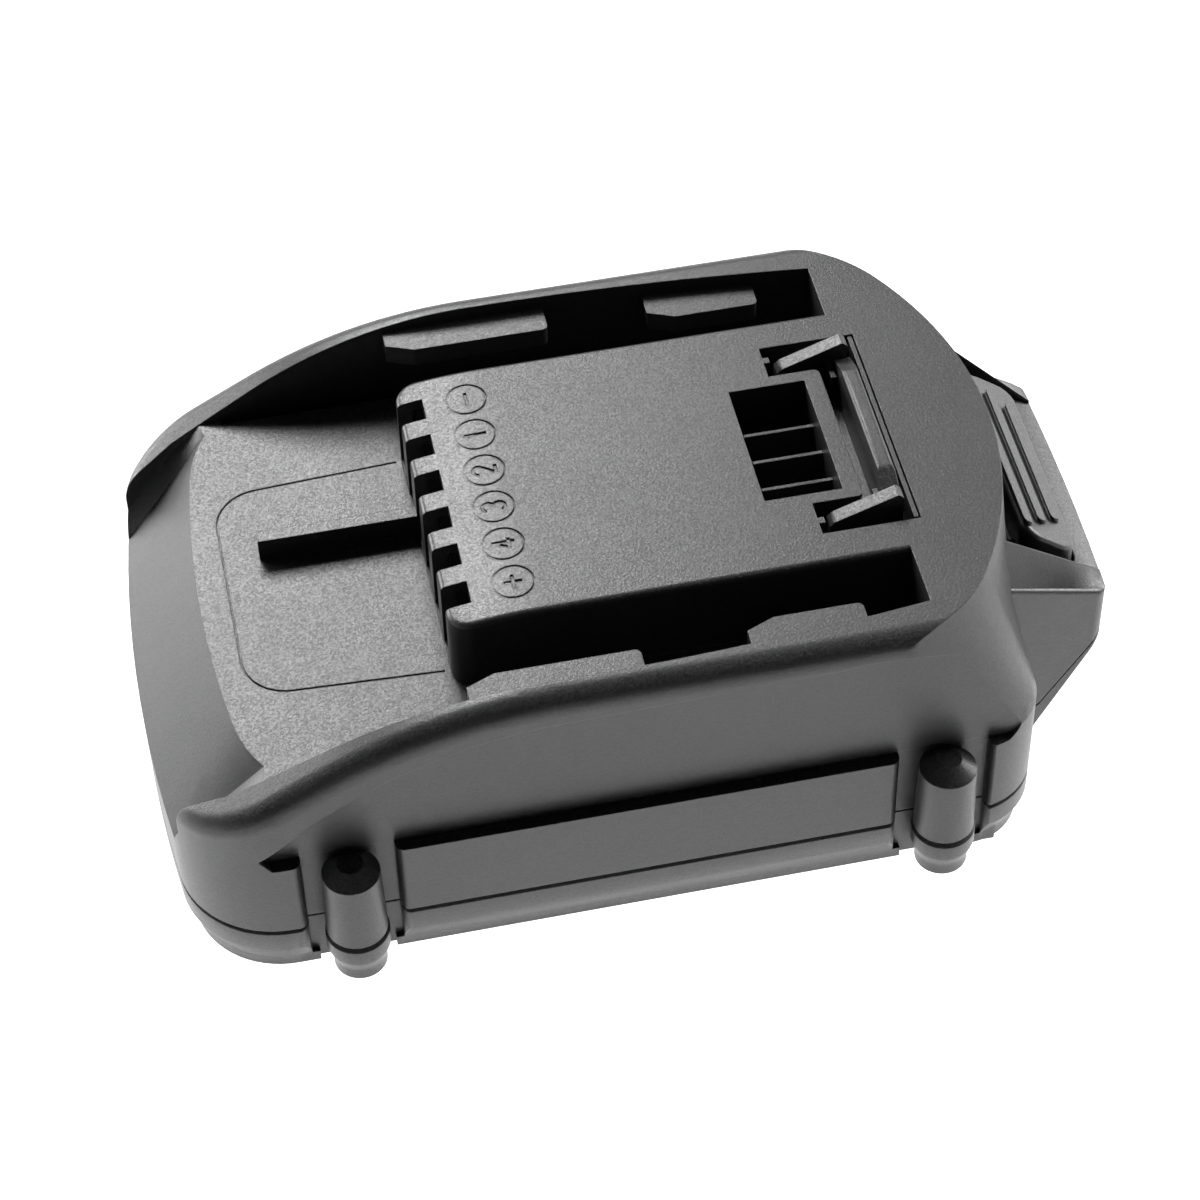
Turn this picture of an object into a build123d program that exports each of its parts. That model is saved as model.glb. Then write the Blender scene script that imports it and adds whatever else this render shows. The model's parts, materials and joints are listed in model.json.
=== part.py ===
from build123d import *
import math
import os

# Slide-on battery pack of a power tool. Millimetres.
# +X points to the end with the release button, -X to the nose, +Z up.
# The origin is on the ground, at the middle of the pack.

# Plan of the casing, which is as wide as a cell is long and a side wall's room more
cell_length = 65.0
side_room = 4.0
half_width = cell_length / 2 + side_room
nose_x = -62.3
nose_bow = 3.3
nose_radius = 13.0
rear_x = 50.7
rear_bow = 1.6
rear_radius = 9.0
deck_rear_x = 50.0
deck_rear_bow = 15.3
deck_rear_radius = 20.0

# Heights of the casing
deck_z = 43.6
lean_z = 22.0
seam_z = 8.4
seam_gap = 0.3
foot_inset = 1.15
foot_height = 1.65
foot_chamfer_height = 3.0
seam_chamfer = 0.5
top_edge_radius = 3.0

# Side view of the rims: flat, a long arc, a brow and a steep front
rim_flat_x = -12.0
rim_radius = 61.0
brow_start_x = -41.5
brow_end_x = -57.6
brow_radius = 5.0
front_angle = 70.0

# Walls
wall = 2.0
roof = 2.2
panel_wall = 1.5
floor_thickness = 2.0
rib_height = 0.5
lip_thickness = 0.9
lip_height = 1.2
lip_clearance = 0.15

# Bay in front of the terminals, and the rail channels beside them
bay_z = 31.8
rim_thickness = 3.8
rim_rear_thickness = 6.0
rim_front_thickness = 5.8
rim_nose_thickness = 9.9
floor_margin = 2.1
bay_edge_x = -52.8
bay_edge_bow = 2.1
channel_x = 8.0
channel_rear_x = 34.1
rail_groove_depth = 3.0

# Nose slope in front of the bay, with a raised strip and a groove at each side
slope_foot_z = 17.4
slope_half = 25.5
slope_foot_half = 26.1
strip_inner_x = -48.4
strip_inner_y = 28.8
crest_turn = 10
crest_steps = 6
strip_foot_x = -66.4
strip_foot_y = 27.8
strip_crest_x = -49.4
strip_crest_y = 33.5
floor_front_x = -47.6
slope_back_x = -46.0

# Terminal block of the upper casing, its slots and its marks
block_front_x = -23.6
block_half = 21.75
block_corner_radius = 3.0
block_edge_radius = 0.8
slot_count = 6
slot_pitch = 6.5
slot_width = 3.6
slot_length = 3.3
slot_bottom_z = 32.6
mark_setback = 8.8
mark_ring_radius = 2.73
mark_height = 2.9
mark_bend = 0.72
mark_sign_half = 1.15
mark_flag = 0.55
mark_stroke = 0.45
groove_width = 0.25
groove_depth = 0.25

# Guide line and key rib on the bay floor
guide_front_x = -49.0
guide_half = 18.8
guide_front_half = 17.4
guide_radius = 6.0
guide_end_gap = 0.7
key_front_x = -44.2
key_y = 6.0
key_width = 1.8
key_height = 3.4

# Rail lips over the channels
lip_rail_top_z = 41.7
lip_rail_thickness = 2.8
front_rail_x = -23.2
front_rail_length = 21.6
front_rail_reach = 7.75
rear_rail_x = 11.7
rear_rail_length = 14.8
rear_rail_reach = 9.2
rail_lead = 3.6
rail_lead_offset = 1.5
rail_corner_radius = 0.8

# Ribbed window behind the marks
window_front_x = 18.4
window_rear_x = 28.45
window_half = 9.9
window_wall = 1.7
window_rear_wall = 2.3
window_floor_z = 33.6
window_floor_thickness = 1.6
window_rib_pitch = 4.9
window_rib_thickness = 0.5
window_rib_top_z = 40.3
window_rib_gap = 0.9

# Opening that the latch comes up through
latch_front_x = 24.1
latch_rear_x = 36.7
latch_half = 16.9
latch_notch_depth = 0.8
latch_notch_y = 14.6
latch_notch_width = 1.0

# Recessed side panels, with (x, z) points on the way round their outline
panel_depth = 1.8
ledge_z = 20.6
panel_top_z = 40.3
panel_start = (-49.5, ledge_z)
panel_tip = (-51.0, 22.6)
panel_brow = (-45.5, 27.1)
panel_arch = (-32.0, 35.2)
panel_crest_front = (-15.5, 39.3)
panel_crest_rear = (22.0, panel_top_z)
panel_bend = (36.5, 37.8)
panel_shoulder = (44.5, 29.5)
panel_heel = (46.4, 24.5)
panel_heel_bend = (46.0, 22.3)
panel_toe = (44.2, ledge_z)

# Screw bosses on the sides
boss_front_x = -40.0
boss_rear_x = 35.9
boss_reach = 0.8
boss_radius = 3.9
boss_top_radius = 3.65
boss_foot_radius = 4.1
boss_base_radius = 3.4
boss_base_z = 1.6
boss_base_height = 1.6
boss_base_chamfer = 2.4
boss_shoulder_z = 19.3
boss_tip_radius = 1.65
boss_tip_z = 20.9
boss_recess_half = 5.9
boss_recess_depth = 1.9
boss_recess_lead = 1.2
boss_foot_recess_half = 4.9
boss_pad_wall = 1.3

# Screws of the casing
case_screw_head_radius = 2.4
case_screw_head_height = 1.9
case_screw_head_z = 2.2
case_screw_radius = 1.45
case_screw_end_z = 16.0
screw_hole_clearance = 0.2
screw_head_clearance = 0.2
thread_clearance = 0.05
screw_drive_radius = 1.3
screw_drive_depth = 1.0

# Lug at the rear that carries the button
lug_root_x = 50.0
lug_root_half = 22.0
lug_end_x = 61.7
lug_end_half = 19.5
lug_apex_x = 62.3
lug_corner_radius = 2.2
lug_top_root_z = 32.0
lug_top_slope = 0.479
lug_edge_radius = 0.6
well_root_half = 18.9
well_end_half = 15.8
cheek_start_x = 44.0
cheek_root_z = 37.2
cheek_end_z = 26.9
well_floor_z = 30.2
well_slope = 0.3
lug_under_x = 50.4
lug_under_slope = 1.63
lug_seam_x = 53.3
lug_seam_slope = 1.27

# Release button
button_front_x = 51.2
button_rear_x = 58.6
button_half = 15.3
button_corner_radius = 2.4
button_top_front_z = 35.9
button_top_rear_z = 30.2
button_foot_z = 23.6
button_wall = 1.6
button_edge_radius = 0.6
button_gap = 0.45
button_rib_x = 52.2
button_rib_pitch = 2.35
button_rib_count = 3
button_rib_width = 1.2
button_rib_height = 0.8
button_rib_half = 13.7
button_rib_step = 1.45
button_rib_end_radius = 0.55

# Latch that locks the pack in the tool
latch_travel = 3.0
latch_plate_z = 36.0
latch_plate_thickness = 2.5
latch_plate_front_x = 31.3
latch_plate_rear_x = 39.5
latch_gap = 0.25
latch_side_gap = 0.3
latch_arm_front_x = 25.0
latch_arm_inner_y = 12.3
hook_front_x = 25.6
hook_rear_x = 35.0
hook_inner_y = 13.0
hook_outer_y = 14.9
hook_tip_z = 43.1
hook_top_z = 46.1
hook_crest_x = 34.3
hook_tip_radius = 0.7
bar_front_x = 33.1
bar_rear_x = 35.3
bar_half = 8.5
bar_top_z = 45.4
bar_edge_radius = 0.6
bar_shoulder_z = 43.4
strip_thickness = 0.55
stop_depth = 2.5
stop_gap = 0.2
fin_x = 32.5
fin_thickness = 0.7
fin_inner_y = 10.2
fin_top_z = 43.0
push_arm_inner_y = 7.5
push_arm_width = 3.0
push_arm_bottom_z = 25.4
push_arm_height = 4.0
push_arm_clearance = 0.4

# Latch springs
spring_x = 33.9
spring_y = 13.6
spring_radius = 2.6
spring_wire_radius = 0.3
spring_turns = 6
spring_bore_clearance = 0.2
peg_length = 2.5

# Cells
cell_count = 5
cell_radius = 9.15
cell_cap_radius = 2.8
cell_cap_height = 0.4
cell_edge_radius = 0.6
cell_pitch = 19.2
cell_middle_x = -3.0
cell_bore_clearance = 0.2
cell_web = 0.65

# Holders that carry the cells
holder_inner_y = 19.0
holder_end_gap = 0.1
holder_end_wall = 1.2
holder_corner = 2.5
seat_gap = 0.05
spring_bracket_thickness = 1.4
spring_bracket_margin = 1.6
foam_inner_y = 4.0
foam_outer_y = 14.0

# Strips welded to the cells
strip_metal = 0.15
strip_half_height = 6.5
strip_corner_radius = 2.1
strip_overhang = 6.0
solder_tab_width = 4.0
solder_tab_reach = 2.0
sheet_thickness = 0.2
sheet_gap = 0.1
sheet_margin = 0.9
washer_inner_radius = 3.5
washer_outer_radius = 8.2
washer_thickness = 0.2

# Circuit board and what it carries
board_front_x = -42.0
board_rear_x = 30.0
board_half = 27.0
board_thickness = 1.6
board_standoff = 2.0
board_screw_inset = 4.0
board_screw_y = 22.0
board_screw_radius = 1.0
board_screw_length = 4.0
board_screw_head_radius = 1.9
board_screw_head_height = 1.4
standoff_radius = 2.4
terminal_front_gap = 0.4
terminal_length = 14.2
terminal_base_height = 2.8
terminal_fin_thickness = 1.2
terminal_roof_gap = 0.5
contact_setback = 1.7
contact_length = 11.5
contact_leaf = 0.5
contact_mouth = 0.9
contact_height = 11.0
contact_foot_length = 2.4
contact_foot_clearance = 0.1
transistor_size = (6.5, 6.0, 2.3)
transistor_count = 4
transistor_pitch = 8.0
transistor_x = -31.0
chip_size = (9.0, 9.0, 1.2)
chip_x = 6.0
chip_y = -8.0
fuse_size = (6.4, 3.2, 2.0)
fuse_x = 20.0
fuse_y = -20.0
capacitor_radius = 2.0
capacitor_height = 3.0
capacitor_count = 3
capacitor_pitch = 6.0
passive_size = (1.6, 0.9, 0.7)
passive_count = 5
passive_pitch = 3.2
passive_gap = 1.8
thermistor_radius = 1.2
thermistor_lead_radius = 0.25
thermistor_lead_spacing = 1.2

# Blank label under the casing
label_length = 50.0
label_width = 30.0
label_depth = 0.3
label_thickness = 0.18

# Values that follow from the sizes above
low_top_z = seam_z - seam_gap / 2
up_bottom_z = seam_z + seam_gap / 2
block_roof_z = deck_z - roof
cavity_roof_z = bay_z - wall
panel_y = half_width - panel_depth
bay_half = half_width - rim_thickness
bay_floor_half = bay_half - floor_margin
channel_rear_half = half_width - rim_rear_thickness
foot_rise = foot_height + foot_chamfer_height
groove_z = bay_z - rail_groove_depth
boss_y = half_width + boss_reach
boss_recess_y = half_width - boss_recess_depth
cavity_half = half_width - wall
upper_cavity_half = panel_y - panel_wall
boss_xs = (boss_front_x, boss_rear_x)
cell_end_y = cell_length / 2
holder_bottom_z = floor_thickness + rib_height + seat_gap
cell_bore = cell_radius + cell_bore_clearance
cell_z = holder_bottom_z + cell_web + cell_bore
holder_top_z = cell_z + cell_bore + cell_web
holder_outer_y = cell_end_y - holder_end_gap
cell_xs = [cell_middle_x + (i - (cell_count - 1) / 2) * cell_pitch for i in range(cell_count)]
board_z = holder_top_z + board_standoff
board_top_z = board_z + board_thickness
slot_ys = [(i - (slot_count - 1) / 2) * slot_pitch for i in range(slot_count)]
latch_plate_top_z = latch_plate_z + latch_plate_thickness
spring_foot_z = holder_top_z + spring_bracket_thickness
far_away = 200.0


def slab(x, y, z):
    """Block between two values of x, two of y and two of z."""
    size = (x[1] - x[0], y[1] - y[0], z[1] - z[0])
    middle = ((x[0] + x[1]) / 2, (y[0] + y[1]) / 2, (z[0] + z[1]) / 2)
    return Pos(*middle) * Box(*size)


def post(x, y, z, radius, top_radius=None):
    """Upright round post between two heights, or a cone with its own top radius."""
    height = z[1] - z[0]
    middle = Pos(x, y, (z[0] + z[1]) / 2)
    if top_radius is None:
        return middle * Cylinder(radius, height)
    return middle * Cone(radius, top_radius, height)


def both_sides(piece):
    """A piece and its mirror image across the middle plane."""
    return piece + mirror(piece, Plane.XZ)


def side_prism(points, y):
    """Straight-sided outline of (x, z) points, stretched between two values of y."""
    corners = [(px, y[0], pz) for px, pz in points]
    outline = make_face(Polyline(*corners, close=True))
    return extrude(outline, y[1] - y[0], dir=(0, 1, 0))


def casing_plan(inset, z, rear=(rear_x, rear_bow, rear_radius)):
    """Plan of the casing, drawn in by an inset and laid at a height."""
    apex, bow, corner = rear
    half = half_width - inset
    front_x = nose_x + inset
    end_x = apex - inset
    nose = ThreePointArc((front_x + nose_bow, half), (front_x, 0), (front_x + nose_bow, -half))
    back = ThreePointArc((end_x - bow, -half), (end_x, 0), (end_x - bow, half))
    near = Line((front_x + nose_bow, -half), (end_x - bow, -half))
    far = Line((end_x - bow, half), (front_x + nose_bow, half))
    face = make_face([nose, near, back, far])
    nose_corners = face.vertices().group_by(Axis.X)[0]
    face = fillet(nose_corners, nose_radius - inset)
    rear_corners = face.vertices().filter_by(lambda v: abs(v.X - end_x + bow) < 0.001)
    face = fillet(rear_corners, corner - inset)
    return Pos(0, 0, z) * face


def deck_plan(inset, z):
    """Plan of the deck, whose rear edge is rounder than the foot's."""
    return casing_plan(inset, z, (deck_rear_x, deck_rear_bow, deck_rear_radius))


# Where the arcs of the rims' side view meet
rim_angle = math.asin((rim_flat_x - brow_start_x) / rim_radius)
brow_start_z = deck_z - rim_radius * (1 - math.cos(rim_angle))
brow_end_z = brow_start_z - (brow_start_x - brow_end_x) * math.tan(rim_angle)
front_angle_rad = math.radians(front_angle)
front_x = brow_end_x - brow_radius * (math.sin(front_angle_rad) - math.sin(rim_angle))
front_z = brow_end_z - brow_radius * (math.cos(rim_angle) - math.cos(front_angle_rad))


def rim_point(angle):
    """Point of the rims' long arc, at an angle from upright."""
    return (rim_flat_x - rim_radius * math.sin(angle), deck_z - rim_radius * (1 - math.cos(angle)))


def brow_point(angle):
    """Point of the brow's arc, at an angle from upright."""
    x = brow_end_x - brow_radius * (math.sin(angle) - math.sin(rim_angle))
    z = brow_end_z - brow_radius * (math.cos(rim_angle) - math.cos(angle))
    return (x, z)


def rim_height(x):
    """Height of the rims' side view at x."""
    if x >= rim_flat_x:
        return deck_z
    if x >= brow_start_x:
        return rim_point(math.asin((rim_flat_x - x) / rim_radius))[1]
    if x >= brow_end_x:
        return brow_start_z - (brow_start_x - x) * math.tan(rim_angle)
    if x >= front_x:
        angle = math.asin((brow_end_x - x) / brow_radius + math.sin(rim_angle))
        return brow_point(angle)[1]
    return front_z - (front_x - x) * math.tan(front_angle_rad)


def above_rims():
    """Everything over the side view of the rims."""
    y = -far_away / 2
    end_x = nose_x - wall
    end_z = rim_height(end_x)
    sky_z = deck_z + far_away

    def at(point):
        return (point[0], y, point[1])

    start = at((rim_flat_x, deck_z))
    arc_mid = at(rim_point(rim_angle / 2))
    brow_start = at((brow_start_x, brow_start_z))
    brow_end = at((brow_end_x, brow_end_z))
    brow_mid = at(brow_point((rim_angle + front_angle_rad) / 2))
    front = at((front_x, front_z))
    outline = [
        ThreePointArc(start, arc_mid, brow_start),
        Line(brow_start, brow_end),
        ThreePointArc(brow_end, brow_mid, front),
        Line(front, at((end_x, end_z))),
        Line(at((end_x, end_z)), at((end_x, sky_z))),
        Line(at((end_x, sky_z)), at((rim_flat_x, sky_z))),
        Line(at((rim_flat_x, sky_z)), start),
    ]
    return extrude(make_face(outline), far_away, dir=(0, 1, 0))


def lies_on_rims(edge):
    """Whether an edge is part of the loop round the top of the casing."""
    points = [edge @ 0, edge @ 0.5, edge @ 1]
    if not all(abs(rim_height(p.X) - p.Z) < 0.05 for p in points):
        return False
    return edge.geom_type != GeomType.LINE or abs(edge.center().Y) > 1


def leaning_body(inset):
    """Upright body whose rear leans in over its upper half, drawn in by an inset."""
    column = extrude(casing_plan(inset, 0), lean_z)
    return column + loft([casing_plan(inset, lean_z), deck_plan(inset, deck_z)], ruled=True)


def envelope():
    """Outer form of the casing without its bay, lug and bosses: soft at the rims, crisp at the rear."""
    long_plan = casing_plan(0, 0, (rear_x + far_away, rear_bow, rear_radius))
    blank = extrude(long_plan, deck_z) - above_rims()
    blank = fillet(blank.edges().filter_by(lies_on_rims), top_edge_radius)
    return blank & leaning_body(0)


def nose_arc_x(y):
    """Front of the plan at a distance y from the middle."""
    radius = (half_width ** 2 + nose_bow ** 2) / (2 * nose_bow)
    return nose_x + radius - math.sqrt(radius ** 2 - y ** 2)


def slope_section(front, corners, z):
    """Level slice of the nose slope: a bowed front edge, and a strip up to the rim at each side."""
    inner, outer = corners
    far = Polyline((*inner, z), (*outer, z), (slope_back_x, outer[1], z))
    near = mirror(far, Plane.XZ)
    back = Line((slope_back_x, outer[1], z), (slope_back_x, -outer[1], z))
    return make_face([front, far, near, back])


def bay_front_x(y):
    """Front edge of the bay floor: a shallow bow, which turns back close to the rims."""
    bow = bay_edge_bow * (y / slope_half) ** 2
    ends = strip_inner_x - bay_edge_x - bay_edge_bow * (strip_inner_y / slope_half) ** 2
    return bay_edge_x + bow + ends * (y / strip_inner_y) ** crest_turn


def nose_slope(outer):
    """Sloping front of the bay between the rims, from the nose up to the bay floor."""
    foot_x = nose_arc_x(slope_foot_half)
    foot_front = ThreePointArc((foot_x, slope_foot_half, slope_foot_z), (nose_x, 0, slope_foot_z),
                               (foot_x, -slope_foot_half, slope_foot_z))
    foot = slope_section(foot_front, ((foot_x, slope_foot_half), (strip_foot_x, strip_foot_y)), slope_foot_z)
    crest_ys = [strip_inner_y * (1 - step / crest_steps) for step in range(2 * crest_steps + 1)]
    crest_front = Spline(*[(bay_front_x(y), y, bay_z) for y in crest_ys])
    crest = slope_section(crest_front, ((strip_inner_x, strip_inner_y), (strip_crest_x, strip_crest_y)), bay_z)
    root = extrude(foot, 2 * wall, dir=(0, 0, -1))
    body = root + loft([foot, crest], ruled=True)
    middle = extrude(casing_plan(0, 0), bay_z) & slab((nose_x, 0), (-strip_inner_y, strip_inner_y), (0, bay_z))
    return body & (outer + middle)


def above_groove(drop):
    """Everything over the floor of the rail grooves, lowered by a drop."""
    foot_x = nose_arc_x(slope_half)
    rise = (groove_z - slope_foot_z) / (strip_crest_x - foot_x)
    start_x = nose_x - wall
    end_x = channel_rear_x + wall
    start_z = slope_foot_z - rise * (foot_x - start_x) - drop
    level_z = groove_z - drop
    points = [(start_x, start_z), (strip_crest_x, level_z), (end_x, level_z), (end_x, far_away), (start_x, far_away)]
    return side_prism(points, (-half_width, half_width))


def bay_plan():
    """Plan of the bay and the two rail channels, as one outline."""
    front_edge = nose_x - wall
    nose_half = half_width - rim_nose_thickness
    front_half = half_width - rim_front_thickness
    rims_front = Line((front_edge, nose_half), (bay_edge_x, front_half))
    rims = ThreePointArc((bay_edge_x, front_half), (channel_x, bay_half), (channel_rear_x, channel_rear_half))
    far_wall = [rims_front, rims]
    near_wall = [mirror(edge, Plane.XZ) for edge in far_wall]
    front = Line((front_edge, -nose_half), (front_edge, nose_half))
    back = Line((channel_rear_x, -channel_rear_half), (channel_rear_x, channel_rear_half))
    return make_face(far_wall + near_wall + [front, back])


def block_plan():
    """Plan of the terminal block, which runs back under the deck."""
    x = (block_front_x + deck_rear_x - wall) / 2
    length = deck_rear_x - wall - block_front_x
    face = Pos(x, 0) * Rectangle(length, 2 * block_half)
    return fillet(face.vertices().group_by(Axis.X)[0], block_corner_radius)


def bay():
    """Space of the bay and the channels round the terminal block, down to the rail grooves."""
    plan = bay_plan() - block_plan()
    return extrude(plan, far_away) & above_groove(0)


def bay_floor():
    """Floor of the bay and of the channels, between the rail grooves."""
    return slab((floor_front_x, channel_rear_x), (-bay_floor_half, bay_floor_half), (groove_z - wall / 2, bay_z))


def lies_on_block(edge):
    """Whether an edge runs round the top of the terminal block."""
    middle = edge.center()
    if abs(middle.Z - deck_z) > 0.01 or middle.X > channel_rear_x + 0.01:
        return False
    return abs(middle.Y) < block_half + 0.01


def rail_lip(x, length, reach):
    """Lip over a channel on the far side, with a tapered lead-in at its front."""
    end = x + length
    inner = half_width - reach
    outer = half_width - top_edge_radius
    outline = [(x, outer), (x, inner + rail_lead_offset), (x + rail_lead, inner), (end, inner), (end, outer)]
    face = make_face(Polyline(*outline, close=True))
    face = fillet(face.vertices().group_by(Axis.Y)[0], rail_corner_radius)
    return extrude(Pos(0, 0, lip_rail_top_z - lip_rail_thickness) * face, lip_rail_thickness)


def panel_recess():
    """Shallow recess of the far side panel."""

    def at(point):
        return (point[0], panel_y, point[1])

    outline = [
        Line(at(panel_start), at(panel_tip)),
        Line(at(panel_tip), at(panel_brow)),
        ThreePointArc(at(panel_brow), at(panel_arch), at(panel_crest_front)),
        Line(at(panel_crest_front), at(panel_crest_rear)),
        ThreePointArc(at(panel_crest_rear), at(panel_bend), at(panel_shoulder)),
        Line(at(panel_shoulder), at(panel_heel)),
        ThreePointArc(at(panel_heel), at(panel_heel_bend), at(panel_toe)),
        Line(at(panel_toe), at(panel_start)),
    ]
    return extrude(make_face(outline), panel_depth * 2, dir=(0, 1, 0))


def boss_recess(x, half, z):
    """Upright recess that a boss on the far side stands in, with a rounded mouth."""
    lead = boss_recess_lead
    turn = lead * math.sqrt(0.5)
    edge_y = half_width - lead
    back_y = half_width * 2
    right = [
        Line((x + half, boss_recess_y), (x + half, edge_y)),
        ThreePointArc((x + half, edge_y), (x + half + lead - turn, edge_y + turn), (x + half + lead, half_width)),
        Line((x + half + lead, half_width), (x + half + lead, back_y)),
    ]
    left = [
        Line((x - half, boss_recess_y), (x - half, edge_y)),
        ThreePointArc((x - half, edge_y), (x - half - lead + turn, edge_y + turn), (x - half - lead, half_width)),
        Line((x - half - lead, half_width), (x - half - lead, back_y)),
    ]
    ends = [
        Line((x - half, boss_recess_y), (x + half, boss_recess_y)),
        Line((x - half - lead, back_y), (x + half + lead, back_y)),
    ]
    return extrude(Pos(0, 0, z[0]) * make_face(right + left + ends), z[1] - z[0])


def upper_boss(x):
    """Upper part of a boss, with its pointed top."""
    shaft = post(x, boss_y, (up_bottom_z, boss_shoulder_z), boss_radius, boss_top_radius)
    cap = post(x, boss_y, (boss_shoulder_z, boss_tip_z), boss_top_radius, boss_tip_radius)
    return shaft + cap


def lower_boss(x):
    """Lower part of a boss, which gets narrower above the ground."""
    base_top = boss_base_z + boss_base_height
    cone_top = base_top + boss_base_chamfer
    shaft_top = low_top_z - seam_chamfer
    base = post(x, boss_y, (boss_base_z, base_top), boss_base_radius)
    cone = post(x, boss_y, (base_top, cone_top), boss_base_radius, boss_foot_radius)
    shaft = post(x, boss_y, (cone_top, shaft_top), boss_foot_radius)
    return base + cone + shaft + post(x, boss_y, (shaft_top, low_top_z), boss_foot_radius, boss_foot_radius - seam_chamfer)


def lug_plan(inset):
    """Plan of the rear lug, drawn in by an inset."""
    slope = (lug_root_half - lug_end_half) / (lug_end_x - lug_root_x)
    draw_in = inset * math.sqrt(1 + slope ** 2)
    start_x = lug_root_x - 2 * wall
    start_half = lug_root_half + slope * (lug_root_x - start_x) - draw_in
    end_x = lug_end_x - inset
    end_half = lug_end_half - draw_in + slope * inset
    back = ThreePointArc((end_x, -end_half), (lug_apex_x - inset, 0), (end_x, end_half))
    sides = Polyline((end_x, end_half), (start_x, start_half), (start_x, -start_half), (end_x, -end_half))
    face = make_face([back, sides])
    corners = face.vertices().filter_by(lambda v: abs(v.X - end_x) < 0.01)
    return fillet(corners, lug_corner_radius - inset)


def above_line(x, z, slope, drop=0.0):
    """Everything over a sloping line of the side view, lowered by a drop."""
    start_x = lug_root_x - 10 * wall
    end_x = lug_apex_x + 10 * wall
    start_z = z + slope * (start_x - x) - drop
    end_z = z + slope * (end_x - x) - drop
    points = [(start_x, start_z), (end_x, end_z), (end_x, far_away), (start_x, far_away)]
    return side_prism(points, (-half_width, half_width))


def lug_cheek():
    """Raised side of the lug on the far side, which falls from the casing to the rear edge."""
    sections = []
    length = lug_end_x - lug_root_x
    for x in (cheek_start_x, lug_end_x):
        share = (x - lug_root_x) / length
        inner = well_root_half + share * (well_end_half - well_root_half)
        outer = lug_root_half + share * (lug_end_half - lug_root_half) - lug_edge_radius
        edge_z = lug_top_root_z - lug_top_slope * (x - lug_root_x)
        crest_z = cheek_root_z + share * (cheek_end_z - cheek_root_z)
        outline = [(x, inner, edge_z - wall), (x, inner, crest_z), (x, outer, edge_z), (x, outer, edge_z - wall)]
        sections.append(make_face(Polyline(*outline, close=True)))
    return loft(sections, ruled=True) & extrude(lug_plan(0), deck_z)


def upper_lug():
    """Upper part of the lug, over the slanting seam, with a well for the button between two cheeks."""
    body = extrude(lug_plan(0), deck_z)
    body = body - above_line(lug_root_x, lug_top_root_z, -lug_top_slope)
    body = body & above_line(lug_seam_x, seam_z, lug_seam_slope, -seam_gap / 2)
    body = body & slab((0, lug_apex_x), (-half_width, half_width), (up_bottom_z, deck_z))
    top = body.faces().sort_by(Axis.Z)[-1]
    outer = [e for e in top.edges() if e.center().X > lug_root_x]
    body = fillet(outer, lug_edge_radius)
    body = body + both_sides(lug_cheek())
    root = (lug_root_x, well_root_half)
    end = (lug_end_x, well_end_half)
    plan = make_face(Polyline(root, end, (end[0], -end[1]), (root[0], -root[1]), close=True))
    well = extrude(plan, deck_z) & above_line(lug_root_x, well_floor_z, -well_slope)
    return body - well


def lug_hollow():
    """Space inside the lug for the button."""
    body = extrude(Pos(0, 0, up_bottom_z) * lug_plan(wall), deck_z)
    body = body - above_line(lug_root_x, lug_top_root_z, -lug_top_slope, wall)
    body = body - above_line(lug_root_x, well_floor_z, -well_slope, wall)
    return body & slab((rear_x, lug_apex_x), (-half_width, half_width), (0, deck_z))


def lower_lug():
    """Sloping plate of the lower casing that closes the lug from below."""
    body = extrude(lug_plan(0), deck_z) & above_line(lug_under_x, 0, lug_under_slope)
    root = body & slab((rear_x - wall, lug_apex_x), (-half_width, half_width), (0, low_top_z))
    plate = body - above_line(lug_seam_x, seam_z, lug_seam_slope, seam_gap / 2)
    return root + (plate & slab((lug_seam_x, lug_apex_x), (-half_width, half_width), (0, deck_z)))


def cavity():
    """Space inside the upper casing for the cells, the board and the latch."""
    inner = leaning_body(wall)
    narrow_y = (-upper_cavity_half, upper_cavity_half)
    wide = inner & slab((nose_x, rear_x), (-half_width, half_width), (0, ledge_z - panel_wall))
    narrow = inner & slab((nose_x, rear_x), narrow_y, (0, cavity_roof_z))
    space = wide + narrow
    slope_rise = (cavity_roof_z - slope_foot_z + wall) / (bay_z - slope_foot_z)
    front_low = (nose_x + wall, slope_foot_z - wall)
    front_high = (nose_x + wall + slope_rise * (bay_edge_x + bay_edge_bow - nose_x), cavity_roof_z)
    corner = side_prism([front_low, front_high, (nose_x - wall, cavity_roof_z), (nose_x - wall, front_low[1])],
                        (-half_width, half_width))
    groove_x = (nose_x, channel_rear_x + wall)
    under_groove = above_groove(wall) & slab(groove_x, (strip_inner_y - wall, half_width), (0, bay_z))
    space = space - corner - both_sides(under_groove)
    inner_half = block_half - wall
    block_space = slab((block_front_x + wall, deck_rear_x - wall - deck_rear_bow / 2),
                       (-inner_half, inner_half), (0, block_roof_z))
    rear_space = inner & slab((channel_rear_x + wall, rear_x), narrow_y, (0, block_roof_z))
    space = space + block_space + rear_space
    for x in boss_xs:
        pad_y = boss_recess_y - boss_pad_wall
        pad = slab((x - boss_recess_half - wall, x + boss_recess_half + wall), (pad_y, half_width), (0, ledge_z))
        space = space - both_sides(pad)
    return space


def lip_space(clearance):
    """Ring inside the seam that holds the lip of the lower casing."""
    top = low_top_z + lip_height + clearance
    outer = extrude(casing_plan(wall - lip_thickness - clearance, 0), top)
    inner = extrude(casing_plan(wall, 0), top)
    ring = outer - inner
    keep_out = [slab((x - boss_recess_half - 2 * wall, x + boss_recess_half + 2 * wall),
                     (boss_recess_y - 2 * wall, half_width), (0, top)) for x in boss_xs]
    for block in keep_out:
        ring = ring - both_sides(block)
    return ring


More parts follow.
